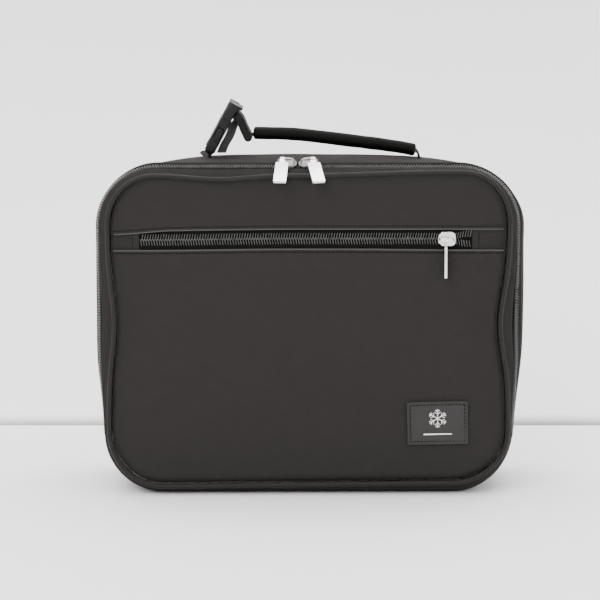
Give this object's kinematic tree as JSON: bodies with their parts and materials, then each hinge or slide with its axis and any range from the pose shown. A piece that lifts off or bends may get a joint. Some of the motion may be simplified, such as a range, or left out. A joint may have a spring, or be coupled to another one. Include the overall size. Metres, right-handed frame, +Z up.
{
  "type": "insulated cooler bag",
  "caption": "Small padded lunch cooler with a zipped drop-front lid, flat zipped outer pocket, piped seams, wipe-clean lining and an unclipping padded handle.",
  "frame": {"origin": "middle of the flat base, on the surface the bag stands on", "axes": "+X to the bag's right as seen from the front, +Y from the front lid to the back, +Z up"},
  "size_m": [0.2932, 0.0981, 0.2625],
  "materials": {
    "black_twill": "polyester twill, matt with a faint sheen",
    "piping": "coated fabric over a cord, slightly shiny",
    "zip_coil": "nylon coil, semi gloss",
    "tape": "woven polyester tape, matt",
    "nickel": "polished nickel plate",
    "buckle_plastic": "moulded acetal, fine texture",
    "webbing": "woven polypropylene webbing",
    "grip_cover": "smooth coated sleeve",
    "lining": "wipe-clean silver film, sealed to the foam",
    "foam": "closed-cell foam",
    "label_patch": "soft moulded rubber patch, satin"
  },
  "bodies": {
    "body": {"body_gusset": "black_twill", "bottom_gusset": "black_twill", "back_panel": "black_twill", "back_piping": "piping", "body_seam_binding": "tape", "gusset_foam": "foam", "bottom_foam": "foam", "back_foam": "foam", "body_lining_walls": "lining", "body_lining_back": "lining", "body_zip_tape": "tape", "body_zip_coil": "zip_coil"},
    "lid": {"front_panel_top": "black_twill", "front_pocket_panel": "black_twill", "pocket_tab_left": "black_twill", "pocket_tab_right": "black_twill", "pocket_tape_upper": "tape", "pocket_tape_lower": "tape", "pocket_coil_upper": "zip_coil", "pocket_coil_lower": "zip_coil", "pocket_lining": "tape", "label_patch": "label_patch", "front_piping": "piping", "lid_gusset_strip": "black_twill", "lid_zip_tape": "tape", "lid_zip_coil": "zip_coil", "lid_foam": "foam", "lid_lining": "lining", "lid_seam_binding": "tape"},
    "main_slider_left": {"main_slider_left": "nickel"},
    "main_slider_right": {"main_slider_right": "nickel"},
    "main_pull_left": {"main_pull_left": "nickel"},
    "main_pull_right": {"main_pull_right": "nickel"},
    "pocket_slider": {"pocket_slider": "nickel"},
    "pocket_pull": {"pocket_pull": "nickel"},
    "handle_base": {"anchor_webbing_left": "webbing", "buckle_socket": "buckle_plastic", "loop_webbing_right": "webbing"},
    "handle_grip": {"buckle_plug": "buckle_plastic", "handle_strap": "webbing", "strap_tail": "webbing", "grip_sleeve": "grip_cover", "grip_core": "webbing"},
    "prong_front": {"buckle_prong_front": "buckle_plastic"},
    "prong_back": {"buckle_prong_back": "buckle_plastic"}
  },
  "joints": [
    {"name": "lid_open", "type": "hinge", "parent": "body", "child": "lid", "pos_m": [0, -0.0415, 0.0073], "axis": [1, 0, 0], "range_deg": [0, 90]},
    {"name": "main_slider_left_slide", "type": "slide", "parent": "lid", "child": "main_slider_left", "axis": [1, 0, 0], "range_m": [-0.075, 0]},
    {"name": "main_slider_right_slide", "type": "slide", "parent": "lid", "child": "main_slider_right", "axis": [1, 0, 0], "range_m": [0, 0.09]},
    {"name": "main_pull_left_swing", "type": "hinge", "parent": "main_slider_left", "child": "main_pull_left", "pos_m": [-0.0174, -0.03173, 0.22643], "axis": [-0.9965, 0.0837, 0], "range_deg": [0, 120]},
    {"name": "main_pull_right_swing", "type": "hinge", "parent": "main_slider_right", "child": "main_pull_right", "pos_m": [0.0027, -0.03173, 0.22643], "axis": [-0.9842, -0.1771, 0], "range_deg": [0, 120]},
    {"name": "pocket_slider_slide", "type": "slide", "parent": "lid", "child": "pocket_slider", "axis": [1, 0, 0], "range_m": [-0.19, 0.01]},
    {"name": "pocket_pull_swing", "type": "hinge", "parent": "pocket_slider", "child": "pocket_pull", "pos_m": [0.0911, -0.0485, 0.175], "axis": [-1, 0, 0], "range_deg": [0, 170]},
    {"name": "handle_swing", "type": "hinge", "parent": "body", "child": "handle_base", "pos_m": [0, 0.006, 0.224], "axis": [1, 0, 0], "range_deg": [-10, 10]},
    {"name": "handle_lift", "type": "hinge", "parent": "handle_base", "child": "handle_grip", "pos_m": [0.074, 0.006, 0.2268], "axis": [0, 1, 0], "range_deg": [0, 132]},
    {"name": "prong_front_squeeze", "type": "hinge", "parent": "handle_grip", "child": "prong_front", "pos_m": [-0.05567, -0.0027, 0.25023], "axis": [0.8813, 0, -0.4726], "range_deg": [0, 7], "stiffness_Nm_per_rad": 0.2},
    {"name": "prong_back_squeeze", "type": "hinge", "parent": "handle_grip", "child": "prong_back", "pos_m": [-0.05567, 0.0147, 0.25023], "axis": [0.8813, 0, -0.4726], "range_deg": [-7, 0], "stiffness_Nm_per_rad": 0.2}
  ],
  "couplings": [
    {"joint": "prong_back_squeeze", "follows": "prong_front_squeeze", "ratio": -1}
  ]
}
